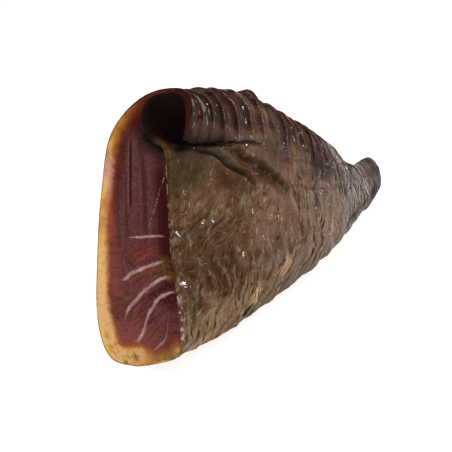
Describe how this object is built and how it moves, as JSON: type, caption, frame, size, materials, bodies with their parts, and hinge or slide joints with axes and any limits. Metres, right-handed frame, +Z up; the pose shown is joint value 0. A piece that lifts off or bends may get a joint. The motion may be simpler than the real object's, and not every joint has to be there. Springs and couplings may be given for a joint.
{
  "type": "smoked tuna belly",
  "caption": "Thick wedge of smoked fish belly, cut square at one end, the thin edge curled over a small hollow, ringed flesh tapering to a dried stub.",
  "frame": {"origin": "middle of the piece's box at the surface that it stands on", "axes": "+X from the square cut face to the tail stub, -Y to the flesh side, +Y to the skin side, +Z up"},
  "size_m": [0.293, 0.0576, 0.1247],
  "materials": {
    "smoked_flesh": "oily, smoked and dried, dark brown with an amber skin side"
  },
  "bodies": {
    "root": {"tuna_belly": "smoked_flesh"}
  },
  "joints": []
}
